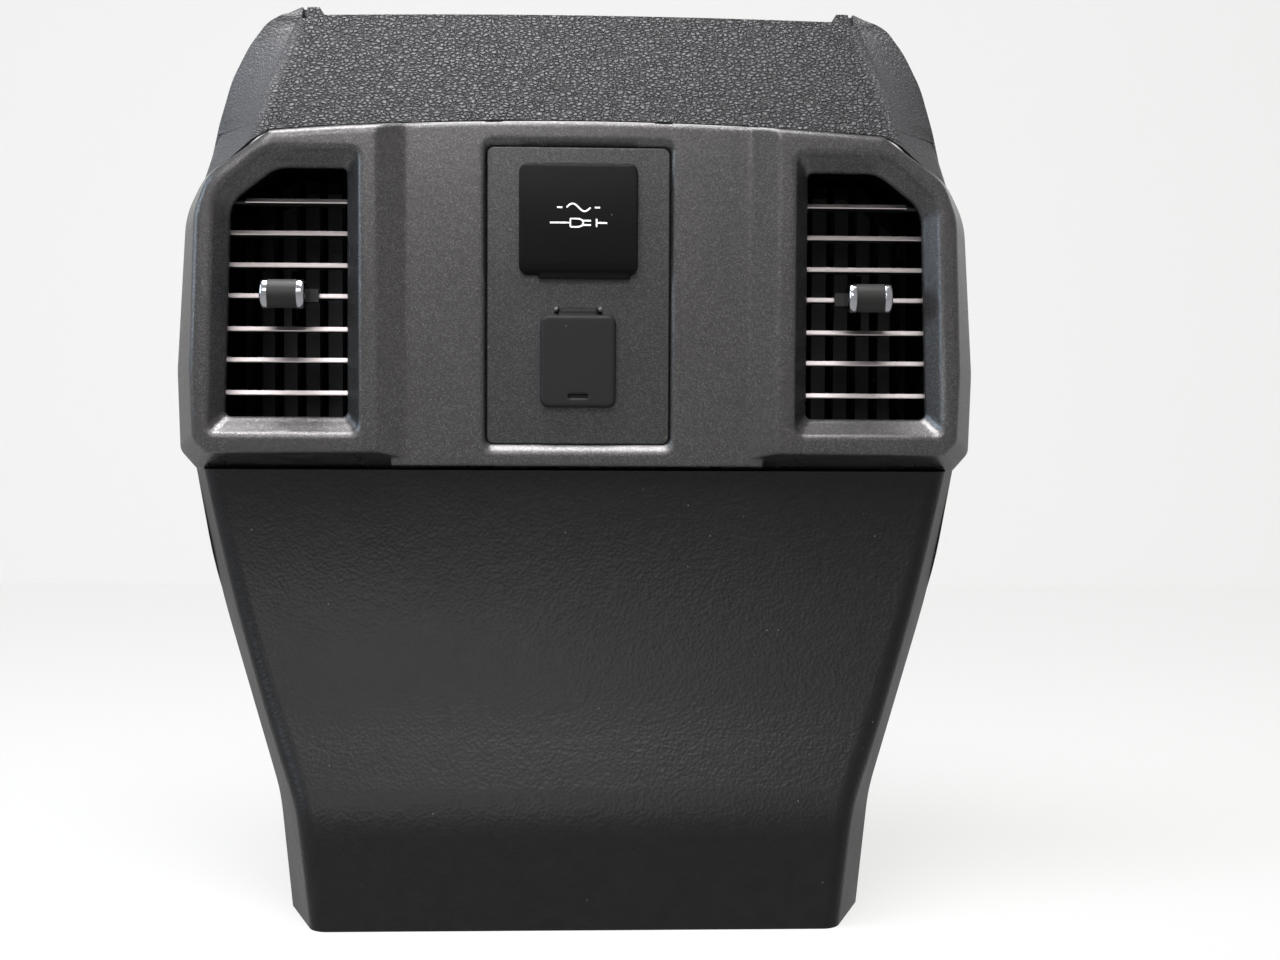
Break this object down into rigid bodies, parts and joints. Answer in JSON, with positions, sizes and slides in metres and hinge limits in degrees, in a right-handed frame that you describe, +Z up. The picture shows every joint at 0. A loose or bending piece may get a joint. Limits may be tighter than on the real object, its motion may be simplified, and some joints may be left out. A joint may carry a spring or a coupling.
{
  "type": "car center console rear end panel",
  "caption": "Console rear end panel: grained cover and lower panel, satin bezel with air vents, and a plate with a hinged outlet flap and a capped power socket.",
  "frame": {"origin": "middle of the part's footprint, on the surface that its base rim stands on", "axes": "+X to the right as a rear passenger sees it, +Y towards the front of the car, +Z up"},
  "size_m": [0.3418, 0.15, 0.3844],
  "materials": {
    "cover_grain": "coarse leather grain, low gloss",
    "panel_grain": "fine grain, matte",
    "bezel_grey": "satin metallic paint",
    "plate_grey": "satin",
    "vent_black": "satin",
    "flap_black": "satin",
    "cap_rubber": "matte",
    "knob_black": "soft touch",
    "knob_chrome": "polished",
    "outlet_black": "matte",
    "socket_metal": "nickel plated",
    "socket_insert": "plain",
    "nut_black": "plain",
    "frame_black": "moulded, matte",
    "duct_black": "blow moulded, matte",
    "seal_foam": "open cell foam",
    "pin_steel": "drawn",
    "screw_steel": "black zinc"
  },
  "bodies": {
    "root": {"lower_panel": "panel_grain", "upper_cover": "cover_grain", "bezel": "bezel_grey", "outlet_plate": "plate_grey", "inner_frame": "frame_black", "air_duct": "duct_black", "duct_seal": "seal_foam", "ac_door_pin": "pin_steel", "ac_receptacle": "outlet_black", "socket_barrel": "socket_metal", "socket_nut": "nut_black", "socket_contact": "socket_insert", "vent_screws": "screw_steel", "duct_screws": "screw_steel", "bezel_screws": "screw_steel", "panel_screws": "screw_steel", "cover_screws": "screw_steel", "outlet_screws": "screw_steel", "left_vent_housing": "vent_black", "right_vent_housing": "vent_black"},
    "ac_door": {"ac_door": "flap_black"},
    "power_cap": {"power_cap": "cap_rubber"},
    "left_blade_1": {"left_blade_1": "vent_black"},
    "left_blade_2": {"left_blade_2": "vent_black"},
    "left_blade_3": {"left_blade_3": "vent_black"},
    "left_blade_4": {"left_blade_4": "vent_black"},
    "left_blade_5": {"left_blade_5": "vent_black"},
    "left_blade_6": {"left_blade_6": "vent_black"},
    "left_blade_7": {"left_blade_7": "vent_black"},
    "left_blade_link": {"left_blade_link": "vent_black"},
    "left_vane_1": {"left_vane_1": "vent_black"},
    "left_vane_2": {"left_vane_2": "vent_black"},
    "left_vane_3": {"left_vane_3": "vent_black"},
    "left_vane_4": {"left_vane_4": "vent_black"},
    "left_vane_5": {"left_vane_5": "vent_black"},
    "left_vane_link": {"left_vane_link": "vent_black"},
    "left_knob": {"left_knob_grip": "knob_black", "left_knob_trim": "knob_chrome"},
    "right_blade_1": {"right_blade_1": "vent_black"},
    "right_blade_2": {"right_blade_2": "vent_black"},
    "right_blade_3": {"right_blade_3": "vent_black"},
    "right_blade_4": {"right_blade_4": "vent_black"},
    "right_blade_5": {"right_blade_5": "vent_black"},
    "right_blade_6": {"right_blade_6": "vent_black"},
    "right_blade_7": {"right_blade_7": "vent_black"},
    "right_blade_link": {"right_blade_link": "vent_black"},
    "right_vane_1": {"right_vane_1": "vent_black"},
    "right_vane_2": {"right_vane_2": "vent_black"},
    "right_vane_3": {"right_vane_3": "vent_black"},
    "right_vane_4": {"right_vane_4": "vent_black"},
    "right_vane_5": {"right_vane_5": "vent_black"},
    "right_vane_link": {"right_vane_link": "vent_black"},
    "right_knob": {"right_knob_grip": "knob_black", "right_knob_trim": "knob_chrome"}
  },
  "joints": [
    {"name": "ac_door_hinge", "type": "hinge", "parent": "root", "child": "ac_door", "pos_m": [0, -0.0295, 0.3098], "axis": [-1, 0, 0], "range_deg": [0, 98]},
    {"name": "power_cap_hinge", "type": "hinge", "parent": "root", "child": "power_cap", "pos_m": [0, -0.0269, 0.2514], "axis": [-1, 0, 0], "range_deg": [0, 95]},
    {"name": "left_blade_1_tilt", "type": "hinge", "parent": "root", "child": "left_blade_1", "pos_m": [-0.1239, -0.013, 0.2157], "axis": [1, 0, 0], "range_deg": [-25.5, 25.5]},
    {"name": "left_blade_2_tilt", "type": "hinge", "parent": "root", "child": "left_blade_2", "pos_m": [-0.1239, -0.013, 0.2297], "axis": [1, 0, 0], "range_deg": [-25.5, 25.5]},
    {"name": "left_blade_3_tilt", "type": "hinge", "parent": "root", "child": "left_blade_3", "pos_m": [-0.1239, -0.013, 0.2429], "axis": [1, 0, 0], "range_deg": [-25.5, 25.5]},
    {"name": "left_blade_4_tilt", "type": "hinge", "parent": "root", "child": "left_blade_4", "pos_m": [-0.1239, -0.013, 0.257], "axis": [1, 0, 0], "range_deg": [-25, 25]},
    {"name": "left_blade_5_tilt", "type": "hinge", "parent": "root", "child": "left_blade_5", "pos_m": [-0.1239, -0.013, 0.2701], "axis": [1, 0, 0], "range_deg": [-25.5, 25.5]},
    {"name": "left_blade_6_tilt", "type": "hinge", "parent": "root", "child": "left_blade_6", "pos_m": [-0.1239, -0.013, 0.2837], "axis": [1, 0, 0], "range_deg": [-25.5, 25.5]},
    {"name": "left_blade_7_tilt", "type": "hinge", "parent": "root", "child": "left_blade_7", "pos_m": [-0.1239, -0.013, 0.2973], "axis": [1, 0, 0], "range_deg": [-25.5, 25.5]},
    {"name": "left_blade_link_swing", "type": "hinge", "parent": "left_blade_4", "child": "left_blade_link", "pos_m": [-0.0979, -0.0075, 0.257], "axis": [1, 0, 0], "range_deg": [-25.5, 25.5]},
    {"name": "left_knob_slide", "type": "slide", "parent": "left_blade_4", "child": "left_knob", "axis": [1, 0, 0], "range_m": [-0.00925, 0.00925]},
    {"name": "left_vane_1_turn", "type": "hinge", "parent": "root", "child": "left_vane_1", "pos_m": [-0.1039, 0.015, 0.257], "axis": [0, 0, 1], "range_deg": [-30.5, 30.5]},
    {"name": "left_vane_2_turn", "type": "hinge", "parent": "root", "child": "left_vane_2", "pos_m": [-0.1139, 0.015, 0.257], "axis": [0, 0, 1], "range_deg": [-30.5, 30.5]},
    {"name": "left_vane_3_turn", "type": "hinge", "parent": "root", "child": "left_vane_3", "pos_m": [-0.1239, 0.015, 0.257], "axis": [0, 0, 1], "range_deg": [-30.5, 30.5]},
    {"name": "left_vane_4_turn", "type": "hinge", "parent": "root", "child": "left_vane_4", "pos_m": [-0.1339, 0.015, 0.257], "axis": [0, 0, 1], "range_deg": [-30.5, 30.5]},
    {"name": "left_vane_5_turn", "type": "hinge", "parent": "root", "child": "left_vane_5", "pos_m": [-0.1439, 0.015, 0.257], "axis": [0, 0, 1], "range_deg": [-30.5, 30.5]},
    {"name": "left_vane_link_swing", "type": "hinge", "parent": "left_vane_3", "child": "left_vane_link", "pos_m": [-0.1239, 0.0205, 0.2045], "axis": [0, 0, 1], "range_deg": [-30.5, 30.5]},
    {"name": "right_blade_1_tilt", "type": "hinge", "parent": "root", "child": "right_blade_1", "pos_m": [0.1239, -0.013, 0.2157], "axis": [1, 0, 0], "range_deg": [-25.5, 25.5]},
    {"name": "right_blade_2_tilt", "type": "hinge", "parent": "root", "child": "right_blade_2", "pos_m": [0.1239, -0.013, 0.2297], "axis": [1, 0, 0], "range_deg": [-25.5, 25.5]},
    {"name": "right_blade_3_tilt", "type": "hinge", "parent": "root", "child": "right_blade_3", "pos_m": [0.1239, -0.013, 0.2429], "axis": [1, 0, 0], "range_deg": [-25.5, 25.5]},
    {"name": "right_blade_4_tilt", "type": "hinge", "parent": "root", "child": "right_blade_4", "pos_m": [0.1239, -0.013, 0.257], "axis": [1, 0, 0], "range_deg": [-25, 25]},
    {"name": "right_blade_5_tilt", "type": "hinge", "parent": "root", "child": "right_blade_5", "pos_m": [0.1239, -0.013, 0.2701], "axis": [1, 0, 0], "range_deg": [-25.5, 25.5]},
    {"name": "right_blade_6_tilt", "type": "hinge", "parent": "root", "child": "right_blade_6", "pos_m": [0.1239, -0.013, 0.2837], "axis": [1, 0, 0], "range_deg": [-25.5, 25.5]},
    {"name": "right_blade_7_tilt", "type": "hinge", "parent": "root", "child": "right_blade_7", "pos_m": [0.1239, -0.013, 0.2973], "axis": [1, 0, 0], "range_deg": [-25.5, 25.5]},
    {"name": "right_blade_link_swing", "type": "hinge", "parent": "right_blade_4", "child": "right_blade_link", "pos_m": [0.0979, -0.0075, 0.257], "axis": [1, 0, 0], "range_deg": [-25.5, 25.5]},
    {"name": "right_knob_slide", "type": "slide", "parent": "right_blade_4", "child": "right_knob", "axis": [1, 0, 0], "range_m": [-0.00925, 0.00925]},
    {"name": "right_vane_1_turn", "type": "hinge", "parent": "root", "child": "right_vane_1", "pos_m": [0.1039, 0.015, 0.257], "axis": [0, 0, 1], "range_deg": [-30.5, 30.5]},
    {"name": "right_vane_2_turn", "type": "hinge", "parent": "root", "child": "right_vane_2", "pos_m": [0.1139, 0.015, 0.257], "axis": [0, 0, 1], "range_deg": [-30.5, 30.5]},
    {"name": "right_vane_3_turn", "type": "hinge", "parent": "root", "child": "right_vane_3", "pos_m": [0.1239, 0.015, 0.257], "axis": [0, 0, 1], "range_deg": [-30.5, 30.5]},
    {"name": "right_vane_4_turn", "type": "hinge", "parent": "root", "child": "right_vane_4", "pos_m": [0.1339, 0.015, 0.257], "axis": [0, 0, 1], "range_deg": [-30.5, 30.5]},
    {"name": "right_vane_5_turn", "type": "hinge", "parent": "root", "child": "right_vane_5", "pos_m": [0.1439, 0.015, 0.257], "axis": [0, 0, 1], "range_deg": [-30.5, 30.5]},
    {"name": "right_vane_link_swing", "type": "hinge", "parent": "right_vane_3", "child": "right_vane_link", "pos_m": [0.1239, 0.0205, 0.2045], "axis": [0, 0, 1], "range_deg": [-30.5, 30.5]}
  ],
  "couplings": [
    {"joint": "left_blade_1_tilt", "follows": "left_blade_4_tilt", "ratio": 1},
    {"joint": "left_blade_2_tilt", "follows": "left_blade_4_tilt", "ratio": 1},
    {"joint": "left_blade_3_tilt", "follows": "left_blade_4_tilt", "ratio": 1},
    {"joint": "left_blade_5_tilt", "follows": "left_blade_4_tilt", "ratio": 1},
    {"joint": "left_blade_6_tilt", "follows": "left_blade_4_tilt", "ratio": 1},
    {"joint": "left_blade_7_tilt", "follows": "left_blade_4_tilt", "ratio": 1},
    {"joint": "left_blade_link_swing", "follows": "left_blade_4_tilt", "ratio": -1},
    {"joint": "left_vane_1_turn", "follows": "left_knob_slide", "rad_per_m": 56.605},
    {"joint": "left_vane_2_turn", "follows": "left_knob_slide", "rad_per_m": 56.605},
    {"joint": "left_vane_3_turn", "follows": "left_knob_slide", "rad_per_m": 56.605},
    {"joint": "left_vane_4_turn", "follows": "left_knob_slide", "rad_per_m": 56.605},
    {"joint": "left_vane_5_turn", "follows": "left_knob_slide", "rad_per_m": 56.605},
    {"joint": "left_vane_link_swing", "follows": "left_knob_slide", "rad_per_m": -56.605},
    {"joint": "right_blade_1_tilt", "follows": "right_blade_4_tilt", "ratio": 1},
    {"joint": "right_blade_2_tilt", "follows": "right_blade_4_tilt", "ratio": 1},
    {"joint": "right_blade_3_tilt", "follows": "right_blade_4_tilt", "ratio": 1},
    {"joint": "right_blade_5_tilt", "follows": "right_blade_4_tilt", "ratio": 1},
    {"joint": "right_blade_6_tilt", "follows": "right_blade_4_tilt", "ratio": 1},
    {"joint": "right_blade_7_tilt", "follows": "right_blade_4_tilt", "ratio": 1},
    {"joint": "right_blade_link_swing", "follows": "right_blade_4_tilt", "ratio": -1},
    {"joint": "right_vane_1_turn", "follows": "right_knob_slide", "rad_per_m": 56.605},
    {"joint": "right_vane_2_turn", "follows": "right_knob_slide", "rad_per_m": 56.605},
    {"joint": "right_vane_3_turn", "follows": "right_knob_slide", "rad_per_m": 56.605},
    {"joint": "right_vane_4_turn", "follows": "right_knob_slide", "rad_per_m": 56.605},
    {"joint": "right_vane_5_turn", "follows": "right_knob_slide", "rad_per_m": 56.605},
    {"joint": "right_vane_link_swing", "follows": "right_knob_slide", "rad_per_m": -56.605}
  ]
}
